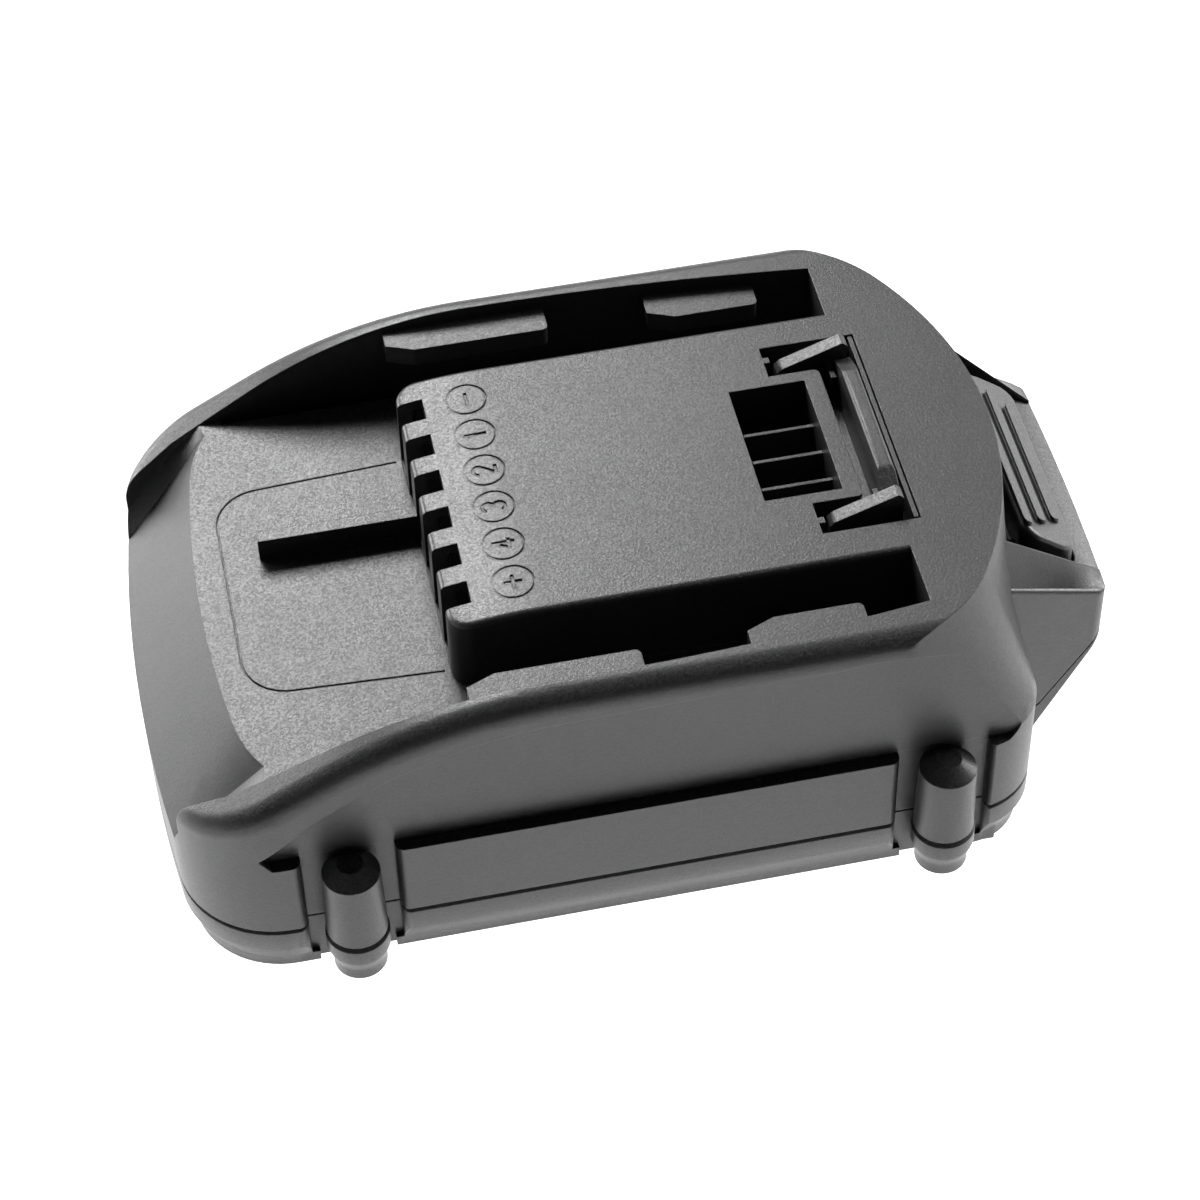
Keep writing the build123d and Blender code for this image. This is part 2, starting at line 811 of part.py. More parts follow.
def window_box():
    """Walls and floor of the ribbed window, which hang in the latch opening."""
    outer_half = window_half + window_wall
    body = slab((window_front_x - window_wall, window_rear_x + window_rear_wall), (-outer_half, outer_half),
                (window_floor_z - window_floor_thickness, deck_z))
    rear_edges = body.edges().filter_by(Axis.Z).sort_by(Axis.X)[-2:]
    return fillet(rear_edges, window_wall / 2)


def window_space():
    """Hollow of the window, without its ribs."""
    space = slab((window_front_x, window_rear_x), (-window_half, window_half), (window_floor_z, deck_z + wall))
    for y in (-window_rib_pitch, 0, window_rib_pitch):
        rib_y = (y - window_rib_thickness / 2, y + window_rib_thickness / 2)
        rib_x = (window_front_x + window_rib_gap, window_rear_x + wall)
        space = space - slab(rib_x, rib_y, (window_floor_z - 1, window_rib_top_z))
    return space


def mark_curves(name):
    """Strokes of one terminal mark, with u to its right and v up."""
    top = mark_height / 2
    bend = mark_bend
    if name == "minus":
        return [Line((-mark_sign_half, 0), (mark_sign_half, 0))]
    if name == "plus":
        across = Line((-mark_sign_half, 0), (mark_sign_half, 0))
        return [across, Line((0, -mark_sign_half), (0, mark_sign_half))]
    if name == "1":
        return [Line((0, -top), (0, top)), Line((0, top), (-mark_flag, top - mark_flag))]
    if name == "2":
        hook = CenterArc((0, top - bend), bend, -35, 215)
        return [hook, Line(hook @ 0, (-bend, -top)), Line((-bend, -top), (bend, -top))]
    if name == "3":
        upper = CenterArc((0, bend), bend, -90, 250)
        lower = CenterArc((0, -bend), bend, -160, 250)
        return [upper, lower]
    stem = mark_flag / 2
    foot = stem + mark_flag
    return [Line((stem, -top), (stem, top)), Line((stem, top), (-bend, -bend)), Line((-bend, -bend), (foot, -bend))]


def terminal_marks():
    """Rings and marks engraved in front of the slots."""
    names = ("minus", "1", "2", "3", "4", "plus")
    tools = []
    x = block_front_x + mark_setback
    for y, name in zip(reversed(slot_ys), names):
        ring = Circle(mark_ring_radius) - Circle(mark_ring_radius - groove_width)
        place = Pos(x, y, deck_z - groove_depth) * Rot(0, 0, 90)
        tools.append(extrude(place * ring, groove_depth * 2))
        for curve in mark_curves(name):
            stroke = trace([curve], mark_stroke)
            tools.append(extrude(place * stroke, groove_depth * 2))
    return tools


def guide_groove():
    """Fine line let into the bay floor, a little narrower at its front."""
    end_x = block_front_x - guide_end_gap

    def outline(inset):
        front = (guide_front_x + inset, guide_front_half - inset)
        rear = (end_x + wall, guide_half - inset)
        face = make_face(Polyline(front, rear, (rear[0], -rear[1]), (front[0], -front[1]), close=True))
        return fillet(face.vertices().group_by(Axis.X)[0], guide_radius - inset)

    ring = Pos(0, 0, bay_z - groove_depth) * (outline(0) - outline(groove_width))
    line = extrude(ring, groove_depth * 2)
    return line & slab((guide_front_x - wall, end_x), (-half_width, half_width), (bay_z - wall, bay_z + wall))


def latch_opening():
    """Opening in the block and the deck, with two notches at its front."""
    opening = slab((latch_front_x, latch_rear_x), (-latch_half, latch_half), (block_roof_z - 1, deck_z + 1))
    tooth = slab((latch_front_x, latch_front_x + latch_notch_depth),
                 (latch_notch_y - latch_notch_width / 2, latch_notch_y + latch_notch_width / 2),
                 (block_roof_z - 1, deck_z))
    return opening - both_sides(tooth)


def screw_pilot(x):
    """Blind hole in a boss of the upper casing for a screw of the casing."""
    top = case_screw_end_z + wall / 2
    return post(x, boss_y, (0, top), case_screw_radius + thread_clearance)


def upper_casing():
    """Upper half of the casing, with the bay, the terminal block and the lug."""
    outer = envelope()
    shell = outer & slab((nose_x - 1, rear_x + 1), (-half_width, half_width), (up_bottom_z, deck_z))
    shell = shell - bay() + nose_slope(outer) + bay_floor()
    shell = fillet(shell.edges().filter_by(lies_on_block), block_edge_radius)
    lips = rail_lip(front_rail_x, front_rail_length, front_rail_reach)
    lips = lips + rail_lip(rear_rail_x, rear_rail_length, rear_rail_reach)
    shell = shell + both_sides(lips)
    key_z = (bay_z - wall / 2, bay_z + key_height)
    key = slab((key_front_x, block_front_x + wall), (key_y - key_width / 2, key_y + key_width / 2), key_z)
    shell = shell + key + upper_lug()
    shell = shell - both_sides(panel_recess())
    for x in boss_xs:
        shell = shell - both_sides(boss_recess(x, boss_recess_half, (-1, ledge_z)))
        shell = shell + both_sides(upper_boss(x))
    shell = shell - cavity() - lip_space(lip_clearance) - lug_hollow()
    shell = shell - latch_opening() + window_box() - window_space()
    window_y = push_arm_inner_y + push_arm_width + push_arm_clearance
    window_z = (push_arm_bottom_z - latch_travel - push_arm_clearance,
                push_arm_bottom_z + push_arm_height + push_arm_clearance)
    shell = shell - slab((rear_x - 3 * wall, rear_x + 1), (-window_y, window_y), window_z)
    hole_x = (button_front_x - button_gap, button_rear_x + button_gap)
    hole_y = button_half + button_gap
    hole = slab(hole_x, (-hole_y, hole_y), (lug_top_root_z - 5 * wall, deck_z))
    hole = fillet(hole.edges().filter_by(Axis.Z), button_corner_radius + button_gap)
    shell = shell - (hole - outer)
    for y in slot_ys:
        shell = shell - slab((block_front_x - 1, block_front_x + slot_length),
                             (y - slot_width / 2, y + slot_width / 2), (slot_bottom_z, deck_z + 1))
    for mark in terminal_marks():
        shell = shell - mark
    shell = shell - guide_groove()
    for x in boss_xs:
        shell = shell - both_sides(screw_pilot(x))
    return shell


def lower_casing():
    """Lower half of the casing: floor, low walls, lip and the plate under the lug."""
    wall_top_z = low_top_z - seam_chamfer
    body = extrude(casing_plan(foot_inset, 0), foot_height)
    body = body + loft([casing_plan(foot_inset, foot_height), casing_plan(0, foot_rise)], ruled=True)
    body = body + extrude(casing_plan(0, foot_rise), wall_top_z - foot_rise)
    body = body + loft([casing_plan(0, wall_top_z), casing_plan(seam_chamfer, low_top_z)], ruled=True)
    body = body - extrude(casing_plan(wall, floor_thickness), seam_z)
    pads = [slab((x - boss_recess_half - wall, x + boss_recess_half + wall),
                 (boss_recess_y - boss_pad_wall, half_width - foot_inset - lip_clearance), (0, low_top_z))
            for x in boss_xs]
    for pad in pads:
        body = body + both_sides(pad)
    for x in boss_xs:
        body = body - both_sides(boss_recess(x, boss_recess_half, (foot_height, seam_z)))
        body = body - both_sides(boss_recess(x, boss_foot_recess_half, (-1, foot_height)))
        body = body + both_sides(lower_boss(x))
    lip = lip_space(0) & slab((nose_x, rear_x), (-half_width, half_width),
                              (floor_thickness, low_top_z + lip_height))
    body = body + lip + lower_lug()
    rib_top = floor_thickness + rib_height
    holder_ends = (cell_xs[0] - cell_radius, cell_xs[-1] + cell_radius)
    for y in (holder_inner_y + wall, holder_outer_y - wall):
        body = body + both_sides(slab(holder_ends, (y - wall / 4, y + wall / 4), (floor_thickness / 2, rib_top)))
    for x in boss_xs:
        bore = post(x, boss_y, (-1, seam_z), case_screw_radius + screw_hole_clearance)
        seat_z = case_screw_head_z + case_screw_head_height
        seat = post(x, boss_y, (-1, seat_z), case_screw_head_radius + screw_head_clearance)
        body = body - both_sides(bore + seat)
    label = slab((-label_length / 2, label_length / 2), (-label_width / 2, label_width / 2), (-1, label_depth))
    return body - label


def case_screws():
    """Four screws that hold the casing together, driven from below."""
    head_top = case_screw_head_z + case_screw_head_height
    pieces = []
    for x in boss_xs:
        for y in (-boss_y, boss_y):
            head = post(x, y, (case_screw_head_z, head_top - seat_gap), case_screw_head_radius)
            drive_depth = case_screw_head_z + screw_drive_depth
            drive = extrude(Pos(x, y, 0) * RegularPolygon(screw_drive_radius, 6), drive_depth)
            shank = post(x, y, (head_top - 2 * seat_gap, case_screw_end_z), case_screw_radius)
            pieces.append(head - drive + shank)
    return pieces


def rating_label():
    """Blank label in its recess under the floor."""
    gap = seat_gap
    x = label_length / 2 - gap
    y = label_width / 2 - gap
    return slab((-x, x), (-y, y), (label_depth - gap - label_thickness, label_depth - gap))


def latch_hook():
    """Hook of the latch on the far side, with a ramp that faces the nose."""
    points = [
        (hook_front_x, latch_plate_top_z),
        (hook_front_x, hook_tip_z - hook_tip_radius),
        (hook_front_x + hook_tip_radius, hook_tip_z),
        (hook_crest_x, hook_top_z),
        (hook_rear_x, hook_top_z - hook_tip_radius),
        (hook_rear_x, latch_plate_top_z),
    ]
    body = side_prism(points, (hook_inner_y, hook_outer_y))
    tops = [e for e in body.edges().filter_by(Axis.Y) if e.center().Z > latch_plate_top_z + 1]
    return fillet(tops, hook_tip_radius / 2)


def latch_bar():
    """Cross-bar between the hooks, with sloping ends."""
    points = [
        (0, latch_plate_z),
        (0, bar_top_z),
        (bar_half, bar_top_z),
        (hook_inner_y, bar_shoulder_z),
        (hook_inner_y, latch_plate_z),
    ]
    face = make_face(Polyline(*[(bar_front_x, y, z) for y, z in points], close=True))
    half = extrude(face, bar_rear_x - bar_front_x, dir=(1, 0, 0))
    bar = both_sides(half)
    tops = [e for e in bar.edges().filter_by(Axis.Y) if e.center().Z > bar_top_z - 0.01]
    return fillet(tops, bar_edge_radius)


def push_arm():
    """Arm of the latch on the far side that reaches through the rear wall into the button."""
    y = (push_arm_inner_y, push_arm_inner_y + push_arm_width)
    drop_x = (latch_rear_x, latch_plate_rear_x)
    drop = slab(drop_x, y, (push_arm_bottom_z, latch_plate_top_z))
    end_x = button_rear_x - button_wall - seat_gap
    reach = slab((latch_rear_x, end_x), y, (push_arm_bottom_z, push_arm_bottom_z + push_arm_height))
    return drop + reach


def latch_frame():
    """Latch in one moulding: plate, hooks, bar, stop and push arms."""
    plate_z = (latch_plate_z, latch_plate_top_z)
    plate_half = latch_half - 2 * latch_side_gap
    frame = slab((latch_plate_front_x, latch_plate_rear_x), (-plate_half, plate_half), plate_z)
    arm = slab((latch_arm_front_x, latch_plate_front_x), (latch_arm_inner_y, plate_half), plate_z)
    strip_x = (latch_rear_x - latch_gap - strip_thickness, latch_rear_x - latch_gap)
    strip_half = latch_half - latch_side_gap
    strip = slab(strip_x, (-strip_half, strip_half), (latch_plate_z, deck_z - seat_gap))
    stop_x = (latch_plate_rear_x - stop_depth, latch_plate_rear_x)
    stop = slab(stop_x, (-plate_half, plate_half), (latch_plate_z, block_roof_z - stop_gap))
    fin = slab((fin_x - fin_thickness / 2, fin_x + fin_thickness / 2), (fin_inner_y, hook_inner_y),
               (latch_plate_z, fin_top_z))
    peg = post(spring_x, spring_y, (latch_plate_z - peg_length, latch_plate_z + 1), peg_radius())
    sides = both_sides(arm + latch_hook() + fin + peg + push_arm())
    return frame + sides + latch_bar() + strip + stop


def peg_radius():
    """Radius of the pegs that the springs sit on."""
    return spring_radius - 2 * spring_wire_radius - spring_bore_clearance


def button_top(raise_by):
    """Everything over the button's sloping top, raised by a height."""
    slope = (button_top_rear_z - button_top_front_z) / (button_rear_x - button_front_x)
    return above_line(button_front_x, button_top_front_z, slope, -raise_by)


def release_button():
    """Hollow push button with three grip ribs."""
    x = (button_front_x, button_rear_x)
    body = slab(x, (-button_half, button_half), (button_foot_z, deck_z))
    body = fillet(body.edges().filter_by(Axis.Z), button_corner_radius)
    body = body - button_top(0)
    top = body.faces().sort_by(Axis.Z)[-1]
    body = fillet(top.edges(), button_edge_radius)
    inner_x = (button_front_x + button_wall, button_rear_x - button_wall)
    inner_half = button_half - button_wall
    hollow = slab(inner_x, (-inner_half, inner_half), (button_foot_z - 1, deck_z)) - button_top(-button_wall)
    arm_y = (push_arm_inner_y - seat_gap, push_arm_inner_y + push_arm_width + seat_gap)
    arm_top = push_arm_bottom_z + push_arm_height + seat_gap
    hollow = hollow - both_sides(slab(inner_x, arm_y, (arm_top, deck_z)))
    notch = slab((button_front_x - 1, inner_x[0] + 1), arm_y, (button_foot_z - 1, arm_top))
    body = body - hollow - both_sides(notch)
    for i in range(button_rib_count):
        rib_x = button_rib_x + i * button_rib_pitch
        half = button_rib_half - i * button_rib_step
        rib = slab((rib_x - button_rib_width / 2, rib_x + button_rib_width / 2), (-half, half),
                   (button_top_rear_z - button_wall / 2, deck_z))
        rib = fillet(rib.edges().filter_by(Axis.Z), button_rib_end_radius)
        rib = rib - button_top(button_rib_height)
        body = body + (rib & button_top(-button_wall / 2))
    return body


def latch_spring(side):
    """Coil spring between a holder and the latch, as one round wire on a helix."""
    start = spring_foot_z + seat_gap + spring_wire_radius
    end = latch_plate_z - seat_gap - spring_wire_radius
    height = end - start
    path = Helix(height / spring_turns, height, spring_radius - spring_wire_radius)
    section = Plane(origin=path @ 0, z_dir=path % 0) * Circle(spring_wire_radius)
    coil = sweep(section, path=path, is_frenet=True)
    return Pos(spring_x, side * spring_y, start) * coil


def cell(index):
    """Round cell with its cap towards the near side or, on every second cell, the far side."""
    can_length = cell_length - cell_cap_height
    can = Cylinder(cell_radius, can_length)
    can = fillet(can.edges().filter_by(GeomType.CIRCLE), cell_edge_radius)
    can = Pos(0, 0, -cell_cap_height / 2) * can
    cap = Pos(0, 0, cell_end_y - cell_cap_height / 2) * Cylinder(cell_cap_radius, cell_cap_height)
    side = 1 if index % 2 == 0 else -1
    return Pos(cell_xs[index], 0, cell_z) * Rot(side * 90, 0, 0) * (can + cap)


def cell_holder(side):
    """Comb that carries the cells at one end, with posts for the board and a spring bracket."""
    x = (cell_xs[0] - cell_bore - holder_end_wall, cell_xs[-1] + cell_bore + holder_end_wall)
    body = slab(x, (holder_inner_y, holder_outer_y), (holder_bottom_z, holder_top_z))
    outer = [e for e in body.edges().filter_by(Axis.Z) if e.center().Y > holder_outer_y - 0.01]
    body = chamfer(outer, holder_corner)
    for cell_x in cell_xs:
        body = body - Pos(cell_x, 0, cell_z) * Rot(90, 0, 0) * Cylinder(cell_bore, 2 * far_away)
    for x in board_screw_xs():
        body = body + post(x, board_screw_y, (holder_top_z - cell_web, board_z - seat_gap), standoff_radius)
    bracket_x = (spring_x - spring_radius - spring_bracket_margin, spring_x + spring_radius + spring_bracket_margin)
    bracket_y = (push_arm_inner_y + push_arm_width + push_arm_clearance, holder_inner_y + spring_bracket_margin)
    body = body + slab(bracket_x, bracket_y, (holder_top_z - cell_web / 2, spring_foot_z))
    body = body + post(spring_x, spring_y, (spring_foot_z - 1, spring_foot_z + peg_length), peg_radius())
    for x in board_screw_xs():
        depth = board_top_z - board_screw_length
        pilot = post(x, board_screw_y, (depth, board_z), board_screw_radius + thread_clearance)
        body = body - pilot
    return body if side > 0 else mirror(body, Plane.XZ)


def board_screw_xs():
    """Places of the board's screws along the pack."""
    return (board_front_x + board_screw_inset, board_rear_x - board_screw_inset)


def foam_pads():
    """Two soft pads between the floor and the cells."""
    x = (cell_xs[0] - cell_radius / 2, cell_xs[-1] + cell_radius / 2)
    z = (floor_thickness + seat_gap, cell_z - cell_radius - seat_gap)
    pad = slab(x, (foam_inner_y, foam_outer_y), z)
    return [pad, mirror(pad, Plane.XZ)]


def welded_strip(x, tab_x):
    """Strip on the far ends of the cells between two x values, with a tab soldered to the board."""
    y = (cell_end_y, cell_end_y + strip_metal)
    plate = slab(x, y, (cell_z - strip_half_height, cell_z + strip_half_height))
    corners = plate.edges().filter_by(Axis.Y)
    plate = fillet(corners, strip_corner_radius)
    tab = (tab_x - solder_tab_width / 2, tab_x + solder_tab_width / 2)
    tab_z = board_top_z + seat_gap
    riser = slab(tab, y, (cell_z, tab_z + strip_metal))
    foot = slab(tab, (board_half - solder_tab_reach, y[1]), (tab_z, tab_z + strip_metal))
    return plate + riser + foot


def nickel_strip(index):
    """Strip that joins a cell to the next one, on alternating sides."""
    x = (cell_xs[index] - strip_overhang, cell_xs[index + 1] + strip_overhang)
    strip = welded_strip(x, (cell_xs[index] + cell_xs[index + 1]) / 2)
    return mirror(strip, Plane.XZ) if index % 2 == 0 else strip


def end_tab(index, side, tab_x):
    """Strip on the free end of the first or last cell."""
    x = (cell_xs[index] - strip_overhang, cell_xs[index] + strip_overhang)
    reach = (min(x[0], tab_x - solder_tab_width / 2), max(x[1], tab_x + solder_tab_width / 2))
    strip = welded_strip(reach, tab_x)
    return strip if side > 0 else mirror(strip, Plane.XZ)


def insulator_sheet(side):
    """Thin sheet between the strips and the side wall."""
    y = cell_end_y + strip_metal + sheet_gap
    x = (cell_xs[0] - cell_radius + sheet_margin, cell_xs[-1] + cell_radius - sheet_margin)
    z = (floor_thickness + rib_height + sheet_margin, ledge_z - panel_wall - sheet_margin)
    sheet = slab(x, (y, y + sheet_thickness), z)
    return sheet if side > 0 else mirror(sheet, Plane.XZ)


def cell_washers():
    """Insulating rings round the caps of the cells."""
    rings = []
    face_y = cell_end_y - cell_cap_height
    for index, x in enumerate(cell_xs):
        side = -1 if index % 2 == 0 else 1
        ring = Cylinder(washer_outer_radius, washer_thickness) - Cylinder(washer_inner_radius, 1)
        y = side * (face_y + seat_gap + washer_thickness / 2)
        rings.append(Pos(x, y, cell_z) * Rot(90, 0, 0) * ring)
    return rings


def circuit_board():
    """Board over the cells, with holes for its screws."""
    board = slab((board_front_x, board_rear_x), (-board_half, board_half), (board_z, board_top_z))
    for x in board_screw_xs():
        hole = post(x, board_screw_y, (board_z - 1, board_top_z + 1), board_screw_radius + screw_hole_clearance)
        board = board - both_sides(hole)
    return board


def board_screws():
    """Four screws that hold the board to the holders."""
    pieces = []
    head_z = board_top_z + seat_gap
    for x in board_screw_xs():
        for y in (-board_screw_y, board_screw_y):
            head = post(x, y, (head_z, head_z + board_screw_head_height), board_screw_head_radius)
            shank_z = (board_top_z - board_screw_length + seat_gap, head_z)
            pieces.append(head + post(x, y, shank_z, board_screw_radius))
    return pieces


def terminal_block():
    """Comb on the board that keeps the contacts apart."""
    x0 = block_front_x + wall + terminal_front_gap
    x = (x0, x0 + terminal_length)
    half = slot_pitch * slot_count / 2 - terminal_roof_gap
    base_z = (board_top_z + seat_gap, board_top_z + terminal_base_height)
    body = slab(x, (-half, half), base_z)
    fin_top = block_roof_z - terminal_roof_gap
    for i in range(slot_count + 1):
        y = (i - slot_count / 2) * slot_pitch
        low = max(y - terminal_fin_thickness / 2, -half)
        high = min(y + terminal_fin_thickness / 2, half)
        body = body + slab(x, (low, high), (base_z[0], fin_top))
    for y in slot_ys:
        hole = slab(contact_foot_x(contact_foot_clearance),
                    (y - contact_mouth / 2 - contact_leaf - contact_foot_clearance,
                     y + contact_mouth / 2 + contact_leaf + contact_foot_clearance),
                    (board_z, base_z[1] + 1))
        body = body - hole
    return body


def contact_foot_x(clearance):
    """Span of a contact's foot along the pack, widened by a clearance."""
    end = block_front_x + wall + contact_setback + contact_length
    return (end - contact_foot_length - clearance, end + clearance)


def contact(y):
    """Forked contact behind a slot: two leaves, a bridge and a foot on the board."""
    x0 = block_front_x + wall + contact_setback
    x = (x0, x0 + contact_length)
    base_z = board_top_z + terminal_base_height + seat_gap
    outer = contact_mouth / 2 + contact_leaf
    leaves = slab(x, (y - outer, y + outer), (base_z, base_z + contact_height))
    gap = slab((x[0] - 1, x[1] - contact_leaf), (y - contact_mouth / 2, y + contact_mouth / 2),
               (base_z + contact_leaf, base_z + contact_height + 1))
    foot = slab(contact_foot_x(0), (y - outer, y + outer), (board_top_z + seat_gap, base_z + contact_leaf))
    return leaves - gap + foot


def on_board(size, x, y):
    """Square package on the board, centred on a place."""
    length, width, height = size
    z = board_top_z + seat_gap
    return slab((x - length / 2, x + length / 2), (y - width / 2, y + width / 2), (z, z + height))


def power_transistors():
    """Row of switching packages under the bay floor."""
    return [on_board(transistor_size, transistor_x, (i - (transistor_count - 1) / 2) * transistor_pitch)
            for i in range(transistor_count)]


def controller_chip():
    """Square chip behind the contacts."""
    return on_board(chip_size, chip_x, chip_y)


def fuse():
    """Flat fuse near the positive strip."""
    return on_board(fuse_size, fuse_x, fuse_y)


def board_passives():
    """Small resistors in two rows, and a row of round capacitors."""
    row_y = chip_size[1] / 2 + passive_gap
    parts = []
    for i in range(passive_count):
        x = chip_x + (i - (passive_count - 1) / 2) * passive_pitch
        parts.append(on_board(passive_size, x, chip_y + row_y))
        parts.append(on_board(passive_size, x, chip_y - row_y))
    z = board_top_z + seat_gap
    for i in range(capacitor_count):
        x = chip_x + (i - (capacitor_count - 1) / 2) * capacitor_pitch
        y = chip_y + row_y + passive_gap + 2 * capacitor_radius
        parts.append(post(x, y, (z, z + capacitor_height), capacitor_radius))
    return parts


def thermistor():
    """Bead in the valley between two cells, with two leads up to the board."""
    index = cell_count // 2
    x = (cell_xs[index] + cell_xs[index + 1]) / 2
    reach = cell_radius + thermistor_radius + seat_gap
    z = cell_z + math.sqrt(reach ** 2 - (cell_pitch / 2) ** 2)
    bead = Pos(x, 0, z) * Sphere(thermistor_radius)
    leads = [post(x, side * thermistor_lead_spacing / 2, (z, board_z - seat_gap), thermistor_lead_radius)
             for side in (-1, 1)]
    return bead + leads


def save(name, shape):
    """Write one piece, or a group of separate solids, under its name."""
    solids = shape if isinstance(shape, list) else [shape]
    bodies = [body for piece in solids for body in piece.solids()]
    export_step(Compound(children=bodies) if len(bodies) > 1 else bodies[0], f"parts/{name}.step")
    print(name, len(bodies), round(sum(body.volume for body in bodies), 2))


def main():
    os.makedirs("parts", exist_ok=True)
    save("upper_casing", upper_casing())
    save("lower_casing", lower_casing())
    save("case_screws", case_screws())
    save("rating_label", rating_label())
    save("latch_frame", latch_frame())
    save("release_button", release_button())
    for side, name in ((-1, "near"), (1, "far")):
        save(f"latch_spring_{name}", latch_spring(side))
        save(f"cell_holder_{name}", cell_holder(side))
        save(f"insulator_sheet_{name}", insulator_sheet(side))
    for index in range(cell_count):
        save(f"cell_{index + 1}", cell(index))
    for index in range(cell_count - 1):
        save(f"nickel_strip_{index + 1}{index + 2}", nickel_strip(index))
    save("minus_tab", end_tab(0, 1, board_front_x + solder_tab_width))
    save("plus_tab", end_tab(cell_count - 1, -1, board_rear_x - solder_tab_width / 2))
    save("cell_washers", cell_washers())
    save("foam_pads", foam_pads())
    save("circuit_board", circuit_board())
    save("board_screws", board_screws())
    save("terminal_block", terminal_block())
    for index, y in enumerate(slot_ys):
        save(f"contact_{index + 1}", contact(y))
    save("power_transistors", power_transistors())
    save("controller_chip", controller_chip())
    save("fuse", fuse())
    save("board_passives", board_passives())
    save("thermistor", thermistor())


main()
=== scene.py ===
import bmesh
import bpy
import json
import math
import numpy as np
from mathutils import Matrix, Vector


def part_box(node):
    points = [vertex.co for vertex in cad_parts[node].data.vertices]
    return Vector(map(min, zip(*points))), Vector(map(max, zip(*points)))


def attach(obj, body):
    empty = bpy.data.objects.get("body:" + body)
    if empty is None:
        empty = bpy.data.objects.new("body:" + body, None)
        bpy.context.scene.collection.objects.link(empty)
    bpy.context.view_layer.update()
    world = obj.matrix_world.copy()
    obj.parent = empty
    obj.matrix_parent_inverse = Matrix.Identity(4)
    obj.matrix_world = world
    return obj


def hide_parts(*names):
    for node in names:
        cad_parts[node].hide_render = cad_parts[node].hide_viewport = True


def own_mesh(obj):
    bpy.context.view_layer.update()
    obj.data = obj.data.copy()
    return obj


# Slide-on battery pack of a power tool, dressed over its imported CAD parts. Metres.
MM = 0.001
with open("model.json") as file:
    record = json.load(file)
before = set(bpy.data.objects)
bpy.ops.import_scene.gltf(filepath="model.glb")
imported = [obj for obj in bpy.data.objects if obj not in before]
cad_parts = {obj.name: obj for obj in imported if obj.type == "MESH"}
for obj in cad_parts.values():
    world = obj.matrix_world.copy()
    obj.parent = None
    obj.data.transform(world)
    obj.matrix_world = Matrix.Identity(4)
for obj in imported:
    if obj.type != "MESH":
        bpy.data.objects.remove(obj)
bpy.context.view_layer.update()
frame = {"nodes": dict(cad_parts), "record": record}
scene = bpy.context.scene

# Camera, at the photograph's place
camera_place = Vector((-54.777, -288.910, 345.966)) * MM
camera_target = Vector((-1.486, -2.544, 22.0)) * MM
camera_roll = math.radians(-1.612)
camera_lens = 100.23
camera_sensor = 36.0

# Soft edges and smooth shading of the moulded parts
merge_distance = 0.002 * MM
flat_angle = math.radians(0.4)
smooth_angle = math.radians(32.0)
face_weight = 80
edge_radius = 0.22 * MM
edge_samples = 3

# Grain of the moulded plastic
grit_size = 0.34 * MM
speck_size = 0.21 * MM
flow_size = 9.0 * MM
grain_depth = 0.05 * MM

# Latch springs, and how far the latch squeezes them
spring_x = 33.9 * MM
spring_y = 13.6 * MM
spring_radius = 2.3 * MM
spring_wire = 0.3 * MM
spring_foot = 23.95 * MM
spring_top = 35.95 * MM
spring_turns = 7.0
spring_end_share = 0.12
spring_steps = 421
spring_sides = 12
end_room = 1.1
closed_pitch = 2.05

# Foam pads under the cells
foam_roundness = 5.0
foam_inner = 4.0 * MM
foam_columns = 97
foam_rows = 33

# White floor
floor_reach = 3.0
floor_glow = 0.38
cloud_size = 0.4
floor_low = (0.93, 0.93, 0.93, 1.0)
floor_high = (0.95, 0.95, 0.95, 1.0)

# Studio: strength of the surroundings, then name, place, size and power of each soft light
white = (1.0, 1.0, 1.0, 1.0)
world_strength = 0.05
lights_aim = (0.0, 0.0, 0.03)
soft_lights = [
    ("back_softbox", (-0.11, 0.62, 0.66), (0.4, 0.36), 11.5),
    ("right_softbox", (0.75, 0.3, 0.38), (0.5, 0.4), 11.0),
    ("left_softbox", (-0.55, 0.5, 0.14), (0.35, 0.3), 5.0),
]


class Value:
    """A number that varies over a surface: a node's output, with arithmetic that adds Math nodes."""

    def __init__(self, finish, socket):
        self.finish = finish
        self.socket = socket

    def math(self, operation, *others):
        inputs = {i: term for i, term in enumerate(others)}
        return self.finish.add("ShaderNodeMath", {"operation": operation}, inputs)

    def __add__(self, other):
        return self.math("ADD", self, other)

    def __radd__(self, other):
        return self.math("ADD", other, self)

    def __sub__(self, other):
        return self.math("SUBTRACT", self, other)

    def __rsub__(self, other):
        return self.math("SUBTRACT", other, self)

    def __mul__(self, other):
        return self.math("MULTIPLY", self, other)

    def __rmul__(self, other):
        return self.math("MULTIPLY", other, self)

    def clamp(self):
        return self.finish.add("ShaderNodeClamp", {}, {"Value": self, "Min": 0.0, "Max": 1.0})

    def ramp(self, low, high):
        """0 below low, 1 above high, and smooth between them."""
        settings = {"interpolation_type": "SMOOTHSTEP"}
        inputs = {"Value": self, "From Min": low, "From Max": high}
        return self.finish.add("ShaderNodeMapRange", settings, inputs)


